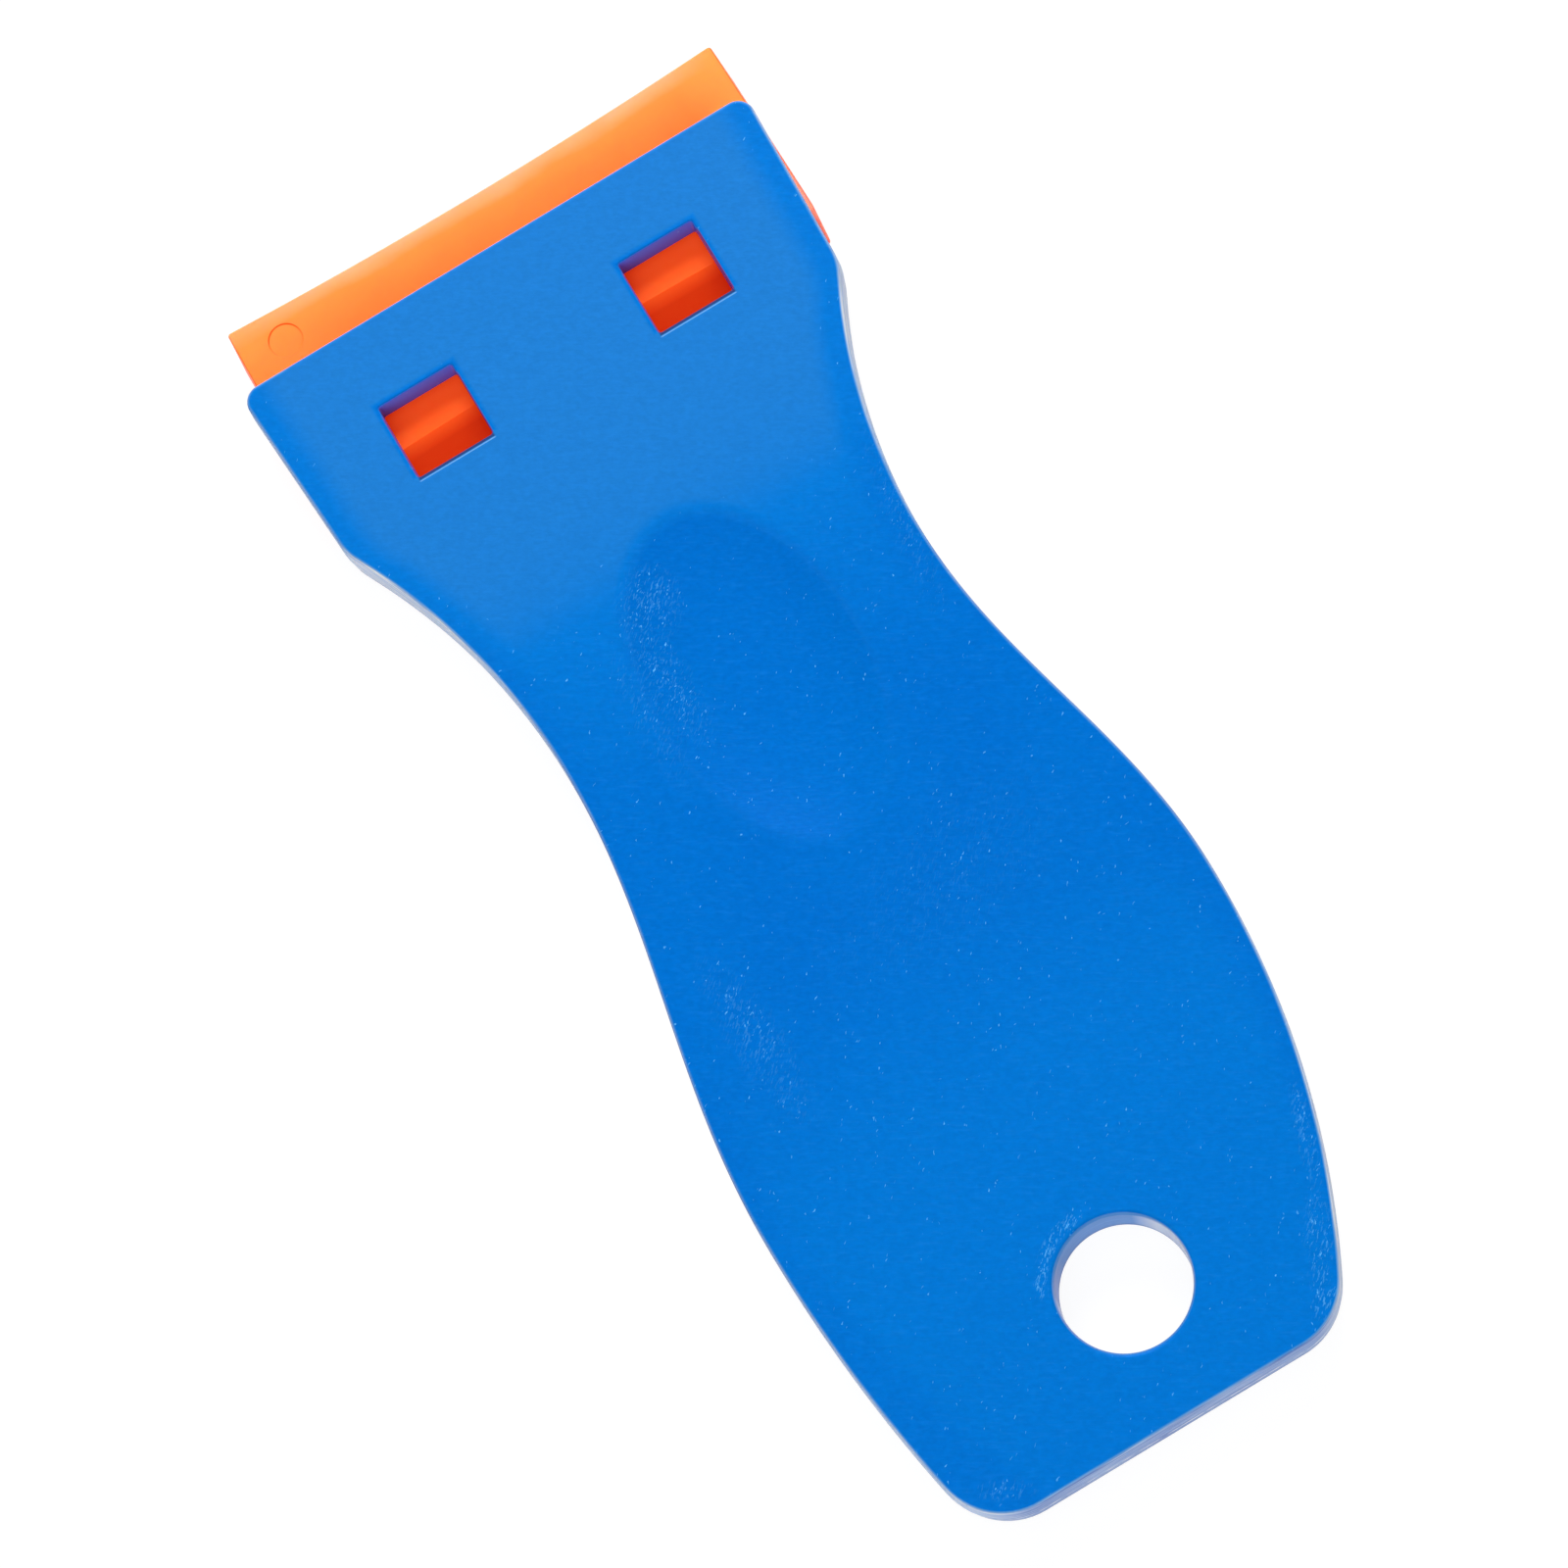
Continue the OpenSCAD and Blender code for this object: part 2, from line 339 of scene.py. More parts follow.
# %% Hole and recess
HOLE_R = 4.6
HOLE_RIM_R = 0.4
HOLE_FOOT_R = 0.1
HOLE_SIDES = 128
RECESS_X = 0.3
RECESS_Y = 49.0
RECESS_W = 15.4
RECESS_L = 26.6
RECESS_DEPTH = 1.1
RECESS_SOFT = 0.1
RECESS_RINGS = 40
RECESS_SIDES = 128

foot_levels = [(grow, -z) for grow, z in reversed(flare(TOP_Z, HOLE_FOOT_R))]
levels = foot_levels + flare(TOP_Z, HOLE_RIM_R)
rings = stacked(lambda grow: ellipse((0, 0), HOLE_R + grow, HOLE_R + grow, HOLE_SIDES), levels)
combine(handle, loft("hole_cutter", rings), "DIFFERENCE")

rings = []
for k in range(1, RECESS_RINGS + 1):
    share = (1 + 2 * RECESS_SOFT) * k / RECESS_RINGS
    dish = share**2 - 1
    past = math.sqrt(dish**2 + RECESS_SOFT**2)
    drop = RECESS_DEPTH * ((past - dish) / 2 - RECESS_SOFT / 6)
    oval = ellipse((RECESS_X, RECESS_Y), RECESS_W / 2 * share, RECESS_L / 2 * share, RECESS_SIDES)
    rings.append([(*p, TOP_Z - drop) for p in oval])
rings.append([(x, y, TOP_Z + OVERRUN) for x, y, z in rings[-1]])
combine(handle, loft("recess_cutter", rings), "DIFFERENCE")
print("handle faces after all cuts:", len(handle.data.polygons))

# %% [markdown]
# ## Smooth shading
#
# Large flat faces next to narrow rounded ones shade badly when every normal is averaged: the
# rounding bleeds across the flat. The Weighted Normal modifier lets the larger face win at
# each corner, so flats stay flat and only the roundings blend.


# %% Soften and smooth
# Corners steeper than this many degrees are rounded. The full weight is for the larger face.
ROUNDED_FROM = 60
FULL_WEIGHT = 100
HANDLE_SOFT_EDGE = 0.06
HANDLE_SHARP = 35


def finish_mesh(piece, bevel_mm, sharp_degrees):
    """Rounds what is still sharp by a little, then smooths the shading."""
    soft = piece.modifiers.new("soft_edges", "BEVEL")
    soft.width = bevel_mm * MM
    soft.segments = 2
    soft.limit_method = "ANGLE"
    soft.angle_limit = math.radians(ROUNDED_FROM)
    apply_modifiers(piece)
    piece.data.shade_smooth()
    piece.data.set_sharp_from_angle(angle=math.radians(sharp_degrees))
    weighted = piece.modifiers.new("weighted_normals", "WEIGHTED_NORMAL")
    weighted.keep_sharp = True
    weighted.weight = FULL_WEIGHT
    apply_modifiers(piece)


finish_mesh(handle, HANDLE_SOFT_EDGE, HANDLE_SHARP)

# %% [markdown]
# ## The blade
#
# The blade is a flat moulding with two cutting edges. Its bevels lie on opposite faces, so it
# can be turned end for end and over, and be the same again. Its section has few corners, so it
# is lofted the other way: from one end to the other, with the cutting edges drawn in a little
# in the middle, as the real ones are. Between the bevels it is a little longer than along its
# cutting edges, which is why a sliver of it shows beside the head.

# %% Sizes of the blade
END_FLARE = 0.2
BLADE_L = blade_high.x - blade_low.x - 2 * END_FLARE
BLADE_W = blade_high.y - blade_low.y
EDGE_SAG = 0.5
EDGE_T = 0.15
BEVEL_W = 2.5
BLADE_CORNER_R = 0.25
BLADE_SOFT_EDGE = 0.07
BLADE_SHARP = 15
blade_middle = (blade_low + blade_high) / 2

# %% Loft the blade
inner_l = BLADE_L / 2 - BLADE_CORNER_R
inner_w = BLADE_W / 2 - BLADE_CORNER_R
places = [(-p.x, p.y) for p in arc((inner_l, inner_w), BLADE_CORNER_R, 0, 90, CORNER_STEPS)]
for i in range(1, CURVE_STEPS):
    share = 2 * i / CURVE_STEPS - 1
    places.append((share * inner_l, BLADE_W / 2 - EDGE_SAG * (1 - share**2)))
places += [(p.x, p.y) for p in arc((inner_l, inner_w), BLADE_CORNER_R, 90, 0, CORNER_STEPS)]

rings = []
for along, half in places:
    line = along * (1 + 2 * END_FLARE / BLADE_L)
    section = [
        (along, -half, blade_low.z),
        (line, half - BEVEL_W, blade_low.z),
        (along, half, blade_high.z - EDGE_T),
        (along, half, blade_high.z),
        (line, BEVEL_W - half, blade_high.z),
        (along, -half, blade_low.z + EDGE_T),
    ]
    rings.append([(blade_middle.x + x, blade_middle.y + y, z) for x, y, z in section])
blade = loft("plastic_blade", rings)

# %% [markdown]
# The photograph shows a faint circle near one end of the blade, where an ejector pin pushed it
# out of the mould. It is a very shallow dish. Its sides are steep, so that they stay sharp when
# the rest is smoothed, and the flat face round it shades evenly.

# %% The ejector pin's mark
PIN_X = -16.6
PIN_FROM_EDGE = 2.6
PIN_R = 1.24
PIN_SLOPE = 0.04
PIN_DEPTH = 0.05
PIN_SIDES = 64

pin_centre = (blade_middle.x + PIN_X, blade_high.y - PIN_FROM_EDGE)
levels = [(-PIN_SLOPE / 2, -PIN_DEPTH), (PIN_SLOPE / 2, 0), (PIN_SLOPE / 2, OVERRUN)]
levels = [(grow, blade_high.z + z) for grow, z in levels]
rings = stacked(lambda grow: ellipse(pin_centre, PIN_R + grow, PIN_R + grow, PIN_SIDES), levels)
combine(blade, loft("pin_cutter", rings), "DIFFERENCE")
finish_mesh(blade, BLADE_SOFT_EDGE, BLADE_SHARP)
print("blade faces:", len(blade.data.polygons))

# %% [markdown]
# ## Colours and nodes
#
# Colours are picked as sRGB hex values, the way they look on a screen, but shaders work on
# linear light. One function turns one into the other. A second one adds a node, sets what it
# is given and links what comes from other nodes, so that a material reads from top to bottom.


# %% Colour and node helpers
def colour(text):
    """A linear colour with alpha from an sRGB hex value."""
    channels = [int(text[i : i + 2], 16) / 255 for i in (1, 3, 5)]
    linear = [c / 12.92 if c <= 0.04045 else ((c + 0.055) / 1.055) ** 2.4 for c in channels]
    return (*linear, 1.0)


def add(tree, kind, inputs=None, **settings):
    """Adds a shader node. An input takes a value, a hex colour, a socket, or a node's first output."""
    added = tree.nodes.new("ShaderNode" + kind)
    for name, value in settings.items():
        setattr(added, name, value)
    for name, value in (inputs or {}).items():
        if isinstance(name, int):
            socket = added.inputs[name]
        else:
            socket = next(s for s in added.inputs if s.enabled and s.name == name)
        if isinstance(value, str):
            value = colour(value)
        if isinstance(value, bpy.types.Node):
            value = next(s for s in value.outputs if s.enabled)
        if isinstance(value, bpy.types.NodeSocket):
            tree.links.new(value, socket)
        else:
            socket.default_value = value
    return added


def new_material(name):
    made = bpy.data.materials.new(name)
    made.use_nodes = True
    made.node_tree.nodes.clear()
    return made, made.node_tree


# %% [markdown]
# ## Patterns in millimetres
#
# A pattern looks right only at its real scale. A Mapping node of the texture kind divides the
# place by its scale, so a cell of the pattern is as long, wide and high as the scale says. Two
# helpers use that: one for the unevenness of a moulded surface, and one for an oval patch that
# fades towards its rim. Two more measure how far a place lies from a point or a line, to draw
# rings and stripes.


# %% Uneven surfaces and patches
def unevenness(tree, place, cell, detail=2.0, turned=0.0):
    """Soft noise around a half, with cells of a size in millimetres, turned by degrees."""
    cells = add(
        tree,
        "Mapping",
        {"Vector": place, "Rotation": (0, 0, math.radians(turned)), "Scale": [c * MM for c in cell]},
        vector_type="TEXTURE",
    )
    return add(tree, "TexNoise", {"Vector": cells, "Scale": 1.0, "Detail": detail})


def across(tree, place):
    """How far a place lies from the origin, seen from above."""
    level = add(tree, "VectorMath", {0: place, 1: (1, 1, 0)}, operation="MULTIPLY")
    return add(tree, "VectorMath", {0: level}, operation="LENGTH").outputs["Value"]


def patch(tree, place, centre, radii, soft=0.8, turned=0.0):
    """One in the middle of an oval of the face, and zero at its rim."""
    scaled = add(
        tree,
        "Mapping",
        {
            "Vector": place,
            "Location": (centre[0] * MM, centre[1] * MM, 0),
            "Rotation": (0, 0, math.radians(turned)),
            "Scale": (radii[0] * MM, radii[1] * MM, 1),
        },
        vector_type="TEXTURE",
    )
    far = across(tree, scaled)
    return add(tree, "MapRange", {"Value": far, "From Min": 1, "From Max": 1 - soft})


def off(tree, value, at):
    """How far a value lies from a given one, to either side."""
    ahead = add(tree, "Math", {0: value, 1: at}, operation="SUBTRACT")
    return add(tree, "Math", {0: ahead}, operation="ABSOLUTE")


# %% [markdown]
# ## Moulded polypropylene
#
# The handle is polypropylene, coloured through and a little see-through. Its mould was
# spark-eroded, which leaves a fine grain. The grain is coarser on the head and finest in the
# middle of the grip, which is nearly polished. A band along the sides is polished too, and so is
# the thumb recess. The colour carries painted sheen: paler blues where the grain is coarse, where
# it would scatter more light, and darker ones where the surface is polished.
#
# So one map says how grained each place is and how much painted sheen it gets. Roughness
# follows it, and so does the colour, as painted sheen. A curve node draws it from the height up
# the tool. A second curve node holds the half width of the outline, which tells how far a place
# lies inside the edge.

# %% Start the handle's material
moulded_pp, tree = new_material("moulded_polypropylene_blue")
coordinates = add(tree, "TexCoord").outputs
place = coordinates["Object"]
split = add(tree, "SeparateXYZ", {0: place}).outputs
from_middle = add(tree, "Math", {0: split["X"]}, operation="ABSOLUTE")
up_tool = add(tree, "MapRange", {"Value": split["Y"], "From Min": END_Y * MM, "From Max": FRONT_Y * MM})


# %% A curve over the tool's length
def set_curve(node, places, top):
    """Draws a curve node through places, each a height in mm and a value up to the top."""
    points = node.mapping.curves[0].points
    for i, (y, value) in enumerate(places):
        at = ((y - END_Y) / (FRONT_Y - END_Y), value / top)
        if i < 2:
            points[i].location = at
        else:
            points.new(*at)
    node.mapping.update()


def half_width(y):
    """The half width of the handle at one height, the mean of both sides."""
    halves = []
    for side in (right_side, left_side):
        above = next(i for i, p in enumerate(side) if p.y >= y)
        low, high = side[max(above - 1, 0)], side[above]
        share = (y - low.y) / (high.y - low.y) if high.y > low.y else 0
        halves.append(low.x + (high.x - low.x) * share)
    return sum(halves) / 2


# %% How far a place lies inside the edge
WIDEST = 25.0
WIDTH_PLACES = 24
BAND = (0.8, 3.2)
BAND_GRAIN_AND_SHEEN = 0.45

heights = [END_Y + (FRONT_Y - END_Y) * (i + 0.5) / WIDTH_PLACES for i in range(WIDTH_PLACES)]
widths = add(tree, "FloatCurve", {"Value": up_tool})
set_curve(widths, [(y, half_width(y)) for y in heights], WIDEST)
edge_at = add(tree, "Math", {0: widths, 1: WIDEST * MM}, operation="MULTIPLY")
inside = add(tree, "Math", {0: edge_at, 1: from_middle}, operation="SUBTRACT")
off_band = add(
    tree,
    "MapRange",
    {"Value": inside, "From Min": BAND[0] * MM, "From Max": BAND[1] * MM, "To Min": BAND_GRAIN_AND_SHEEN},
    interpolation_type="SMOOTHSTEP",
)
print("half width at the waist, mm:", round(half_width(RIGHT["waist_y"]), 2))

# %% How grained a place is, and how much painted sheen it gets
GRAIN_AND_SHEEN = (
    (END_Y, 0.36),
    (13.0, 0.4),
    (20.0, 0.28),
    (26.0, 0.11),
    (32.0, 0.03),
    (42.0, 0.03),
    (50.0, 0.22),
    (58.0, 0.48),
    (63.0, 0.85),
    (68.0, 0.95),
    (FRONT_Y, 1.0),
)
RECESS_GRAIN_AND_SHEEN = 0.06
RECESS_HALVES = (RECESS_W / 2 + 0.6, RECESS_L / 2 + 0.6)
POLISHED_SHADED_RIM = 0.5

grain_and_sheen = add(tree, "FloatCurve", {"Value": up_tool})
set_curve(grain_and_sheen, GRAIN_AND_SHEEN, 1.0)
in_recess = patch(tree, place, (RECESS_X, RECESS_Y), RECESS_HALVES, 0.12)
# The recess and the band along the sides are smoother, and get less painted sheen, so darker
grain_and_sheen = add(tree, "Mix", {"Factor": in_recess, "A": grain_and_sheen, "B": RECESS_GRAIN_AND_SHEEN}, data_type="FLOAT")
grain_and_sheen = add(tree, "Math", {0: grain_and_sheen, 1: off_band}, operation="MULTIPLY")

# The front and side rims of the windows are polished too, and a painted shadow darkens them
from_window = off(tree, from_middle, WINDOW_PITCH / 2 * MM)
ahead = add(tree, "Math", {0: split["Y"], 1: (window_rear_y + WINDOW / 2) * MM}, operation="SUBTRACT")
outside = add(tree, "Math", {0: from_window, 1: ahead}, operation="MAXIMUM")
off_rim = add(
    tree,
    "MapRange",
    {
        "Value": outside,
        "From Min": (WINDOW / 2 + 0.1) * MM,
        "From Max": (WINDOW / 2 + POLISHED_SHADED_RIM) * MM,
        "To Min": 0.1,
    },
)
past_rear = add(
    tree,
    "MapRange",
    {"Value": split["Y"], "From Min": (window_rear_y + 0.3) * MM, "From Max": window_rear_y * MM},
)
off_rim = add(tree, "Math", {0: off_rim, 1: past_rear}, operation="MAXIMUM")
grain_and_sheen = add(tree, "Math", {0: grain_and_sheen, 1: off_rim}, operation="MULTIPLY")

# %% [markdown]
# ### Colour of the faces
#
# From polished to grained the colour runs through three blues, and the paler ones are painted
# sheen. It drifts slowly where the plastic flowed through the mould. The grain itself shows as a
# fine mottle, and it is drawn three times as coarse as it is, at 0.4 mm, because the real one is
# finer than a pixel.

# %% The faces
# Cells of the slow drift, of the streaks and of the grain, in mm
DRIFT_CELL = (14, 14, 14)
STREAK_CELL = (1.1, 0.2, 1)
GRAIN_CELL = (0.45, 0.28, 0.35)
STREAK_TURN = -31.0
drift = unevenness(tree, place, DRIFT_CELL)
streaks = unevenness(tree, place, STREAK_CELL, detail=3, turned=STREAK_TURN)
grain = unevenness(tree, place, GRAIN_CELL, detail=3, turned=STREAK_TURN)

# The satin and matt blues are painted sheen, paler than the polished blue
polished = add(tree, "Mix", {"Factor": drift, "A": "#0068C7", "B": "#0073CF"}, data_type="RGBA")
to_satin_sheen = add(tree, "MapRange", {"Value": grain_and_sheen, "From Max": 0.5})
to_matt_sheen = add(tree, "MapRange", {"Value": grain_and_sheen, "From Min": 0.5})
face = add(tree, "Mix", {"Factor": to_satin_sheen, "A": polished, "B": "#0277D1"}, data_type="RGBA")
face = add(tree, "Mix", {"Factor": to_matt_sheen, "A": face, "B": "#1E7CCC"}, data_type="RGBA")
mottle = add(
    tree, "MapRange", {"Value": grain, "From Min": 0.3, "From Max": 0.7, "To Min": 0.94, "To Max": 1.06}
)
face = add(tree, "HueSaturation", {"Color": face, "Value": mottle})
streak = add(tree, "MapRange", {"Value": streaks, "From Min": 0.52, "From Max": 0.75, "To Max": 0.12})
face = add(tree, "Mix", {"Factor": streak, "A": face, "B": "#2A92EE"}, data_type="RGBA")

# %% [markdown]
# ### The frosted side walls and their painted light
#
# Light that enters a side wall scatters inside, and the wall looks frosted and pale. A volume
# shader could do that, at a great cost in noise. Here that light is painted: the walls are told
# from the faces by their normal, and get a paler colour, with fine lines along them, a bright and
# broken parting line at half height, and a lower edge darkened by a painted shade. It is palest
# on the walls towards the end of the grip, and shows least on the flanks of the head.
#
# The walls of the windows aren't frosted. They are a deep blue, painted darker and violet towards
# the blade for its red light and the shade, and their rear rim has a painted highlight and a
# painted shadow line. The hole's wall lies between the two: blue where it faces the handle's end,
# and whitened at its left and right by painted light.

# %% Where the walls are
normal = add(tree, "SeparateXYZ", {0: coordinates["Normal"]}).outputs
upright = add(tree, "Math", {0: normal["Z"]}, operation="ABSOLUTE")
wall = add(tree, "MapRange", {"Value": upright, "From Min": 0.99, "From Max": 0.7})
towards_end = add(
    tree, "MapRange", {"Value": normal["Y"], "From Min": 0.05, "From Max": -0.35, "To Min": 0.25}
)
wall = add(tree, "Math", {0: wall, 1: towards_end}, operation="MULTIPLY")

HOLE_BLUE = 0.5
HOLE_ZONE = HOLE_R + 1.2
RIM_ZONE = HOLE_R + 0.2
WINDOWS_END = 17.0
beside = add(
    tree,
    "MapRange",
    {"Value": from_middle, "From Min": (WINDOWS_END + 0.5) * MM, "From Max": (WINDOWS_END - 0.5) * MM},
)
above = add(
    tree,
    "MapRange",
    {"Value": split["Y"], "From Min": (window_rear_y - 1) * MM, "From Max": (window_rear_y - 0.5) * MM},
)
in_window = add(tree, "Math", {0: beside, 1: above}, operation="MULTIPLY")
in_hole = patch(tree, place, (0, 0), (HOLE_ZONE, HOLE_ZONE), 0.02)
on_rim = patch(tree, place, (0, 0), (RIM_ZONE, RIM_ZONE), 0.03)
hole_blue = add(tree, "MapRange", {"Value": on_rim, "To Min": 1.0, "To Max": HOLE_BLUE})
hole_blue = add(tree, "Math", {0: in_hole, 1: hole_blue}, operation="MULTIPLY")
kept_blue = in_window
for other in (hole_blue, in_recess):
    kept_blue = add(tree, "Math", {0: kept_blue, 1: other}, operation="MAXIMUM")
frosted_glow_share = add(tree, "Math", {0: 1.0, 1: kept_blue}, operation="SUBTRACT")
frosted_glow = add(tree, "Math", {0: wall, 1: frosted_glow_share}, operation="MULTIPLY")

# The rounding above a wall glows with the light from inside, in a lighter blue
rim_glow = add(tree, "MapRange", {"Value": upright, "From Min": 0.999, "From Max": 0.9})
for limit in (towards_end, frosted_glow_share):
    rim_glow = add(tree, "Math", {0: rim_glow, 1: limit}, operation="MULTIPLY")
face = add(tree, "Mix", {"Factor": rim_glow, "A": face, "B": "#48A4E4"}, data_type="RGBA")

# %% The walls' painted colour
# Painted light: the walls at the sides are nearly white, and those at the end are duller and bluer.
# The lower edge is darkened by a painted shade.
WALL_CELL = (5, 5, 0.16)
PARTING_CELL = (1.2, 1.2, 5)
to_side = add(tree, "Math", {0: normal["X"]}, operation="ABSOLUTE")
sideways = add(tree, "MapRange", {"Value": to_side, "From Min": 0.2, "From Max": 0.8})
lines = unevenness(tree, place, WALL_CELL, detail=4)
along_wall = add(tree, "MapRange", {"Value": lines, "From Min": 0.36, "From Max": 0.64})
shades = []
for at_end, at_side in (("#6884C8", "#9CBEF0"), ("#B4CCF0", "#FFFFFF"), ("#4E5C9C", "#6A68A8")):
    ends = {"Factor": sideways, "A": at_end, "B": at_side}
    shades.append(add(tree, "Mix", ends, data_type="RGBA"))
wall_glow, pale, painted_foot_shade = shades
height = add(tree, "Math", {0: split["Z"]}, operation="ABSOLUTE")
parting = add(tree, "MapRange", {"Value": height, "From Min": 0.28 * MM, "From Max": 0.08 * MM})
gaps = unevenness(tree, place, PARTING_CELL, detail=3)
broken = add(tree, "MapRange", {"Value": gaps, "From Min": 0.4, "From Max": 0.6})
parting = add(tree, "Math", {0: parting, 1: broken}, operation="MULTIPLY")
foot = add(
    tree,
    "MapRange",
    {
        "Value": split["Z"],
        "From Min": (UNDERSIDE_Z + 0.7) * MM,
        "From Max": (UNDERSIDE_Z + 0.3) * MM,
        "To Max": 0.85,
    },
)
for share, shade in ((along_wall, pale), (parting, "#F0F3FF"), (foot, painted_foot_shade)):
    wall_glow = add(tree, "Mix", {"Factor": share, "A": wall_glow, "B": shade}, data_type="RGBA")
blue = add(tree, "Mix", {"Factor": frosted_glow, "A": face, "B": wall_glow}, data_type="RGBA")

# %% The hole's wall
HOLE_CELL = (5, 5, 0.5)
hole_lines = unevenness(tree, place, HOLE_CELL, detail=3)
hole_wall = add(tree, "Mix", {"Factor": hole_lines, "A": "#4086D0", "B": "#6CACE6"}, data_type="RGBA")

# Painted light: lilac, then a white crescent at the right and at the left, a painted highlight,
# then a darker foot. Each starts at one value and is full at the next.
for value, starts, full, share, shade in (
    (normal["X"], 0.6, 0.88, 1.0, "#B4C4F4"),
    (normal["X"], -0.6, -0.85, 0.95, "#F4F8FF"),
    (normal["X"], 0.93, 0.98, 0.9, "#F4F8FF"),
    (split["Z"], (UNDERSIDE_Z + 0.6) * MM, (UNDERSIDE_Z + 0.3) * MM, 0.9, "#3C74B8"),
):
    zone = add(tree, "MapRange", {"Value": value, "From Min": starts, "From Max": full, "To Max": share})
    hole_wall = add(tree, "Mix", {"Factor": zone, "A": hole_wall, "B": shade}, data_type="RGBA")
steep = add(tree, "MapRange", {"Value": upright, "From Min": 0.85, "From Max": 0.5})
hole_share = add(tree, "Math", {0: steep, 1: in_hole}, operation="MULTIPLY")
blue = add(tree, "Mix", {"Factor": hole_share, "A": blue, "B": hole_wall}, data_type="RGBA")

# %% The dark line of the rims
# Where the upper rounding turns away from the light it ends in a thin dark line
dark_rim = add(tree, "MapRange", {"Value": upright, "From Min": 0.7, "From Max": 0.5, "To Max": 0.5})
near_face = add(
    tree,
    "MapRange",
    {"Value": split["Z"], "From Min": (TOP_Z - 0.32) * MM, "From Max": (TOP_Z - 0.22) * MM},
)
off_end = add(tree, "MapRange", {"Value": normal["Y"], "From Min": -0.15, "From Max": 0.05})
for limit in (near_face, off_end):
    dark_rim = add(tree, "Math", {0: dark_rim, 1: limit}, operation="MULTIPLY")
blue = add(tree, "Mix", {"Factor": dark_rim, "A": blue, "B": "#3C4A98"}, data_type="RGBA")

# %% The windows' walls and rims
# Painted shade and painted red light from the blade: the walls darken to violet towards the blade
wall_depth = add(
    tree, "MapRange", {"Value": split["Z"], "From Min": (TOP_Z - 0.2) * MM, "From Max": PLATE_Z * MM}
)
window_wall_painted_shade = add(tree, "Mix", {"Factor": wall_depth, "A": "#3C86FF", "B": "#445AD8"}, data_type="RGBA")
window_wall = add(tree, "Math", {0: steep, 1: in_window}, operation="MULTIPLY")
blue = add(tree, "Mix", {"Factor": window_wall, "A": blue, "B": window_wall_painted_shade}, data_type="RGBA")

# Painted light on the rims: the side rims get a painted red reflection of the blade and a painted
# shadow line, and the rear rim a painted highlight outside and a painted shadow line inside.
HIGHLIGHT_AT = 0.33
SHADOW_AT = 0.06
to_rear = add(tree, "Math", {0: window_rear_y * MM, 1: split["Y"]}, operation="SUBTRACT")
painted_highlight = add(
    tree,
    "MapRange",
    {"Value": off(tree, to_rear, HIGHLIGHT_AT * MM), "From Min": 0.06 * MM, "From Max": 0.02 * MM},
)
painted_shadow = add(
    tree,
    "MapRange",
    {"Value": off(tree, to_rear, SHADOW_AT * MM), "From Min": 0.2 * MM, "From Max": 0.15 * MM},
)
across_window = add(
    tree,
    "MapRange",
    {"Value": from_window, "From Min": (WINDOW / 2 + 0.12) * MM, "From Max": (WINDOW / 2 - 0.02) * MM},
)
painted_red_reflection = add(tree, "MapRange", {"Value": to_side, "From Min": 0.25, "From Max": 0.5})
at_rim = add(
    tree, "MapRange", {"Value": split["Z"], "From Min": (TOP_Z - 0.3) * MM, "From Max": (TOP_Z - 0.2) * MM}
)
painted_side_shadow = add(tree, "MapRange", {"Value": normal["X"], "From Min": -0.75, "From Max": -0.9})
short_of_front = add(
    tree,
    "MapRange",
    {
        "Value": split["Y"],
        "From Min": (window_rear_y + WINDOW - 0.6) * MM,
        "From Max": (window_rear_y + WINDOW - 1.1) * MM,
    },
)
at_rim = add(tree, "Math", {0: at_rim, 1: short_of_front}, operation="MULTIPLY")
for line, limit, shade, share in (
    (painted_highlight, across_window, "#90C8F8", 0.55),
    (painted_shadow, across_window, "#34142C", 0.75),
    (painted_red_reflection, at_rim, "#982C74", 0.7),
    (painted_side_shadow, at_rim, "#30103C", 0.75),
):
    for factor in (limit, in_window, share):
        line = add(tree, "Math", {0: line, 1: factor}, operation="MULTIPLY")
    blue = add(tree, "Mix", {"Factor": line, "A": blue, "B": shade}, data_type="RGBA")

# %% The painted highlight on the rim above the blade, a pink reflection of the blade
front_rim_highlight = add(tree, "MapRange", {"Value": normal["Y"], "From Min": 0.6, "From Max": 0.9, "To Max": 0.8})
at_front = add(
    tree,
    "MapRange",
    {"Value": split["Y"], "From Min": (FRONT_Y - 0.5) * MM, "From Max": (FRONT_Y - 0.2) * MM},
)
for limit in (at_front, near_face):
    front_rim_highlight = add(tree, "Math", {0: front_rim_highlight, 1: limit}, operation="MULTIPLY")
blue = add(tree, "Mix", {"Factor": front_rim_highlight, "A": blue, "B": "#F0A8C8"}, data_type="RGBA")

# %% [markdown]
# ### Scuffs and painted glints
#
# The tool has been handled, and its face is strewn with tiny nicks. Each shows as a bright speck:
# the nick is in the bump, and its brightness is a painted glint in the colour. The head has almost
# none. They are dense along the left rim of the recess, by the hole and near the right edge, and
# a little denser than elsewhere on both flanks of the grip and at its corners. Each nick is the
# middle of a long Voronoi cell, and a cell shows its nick only if its random number is below the
# local density. The cells are bent a little first, so that no two nicks have the same form. A
# nick is about 0.08 mm wide and 0.15 mm long. Between the nicks of the dense places run finer
# scratches, which are the crests of a fine noise, drawn bright as well.

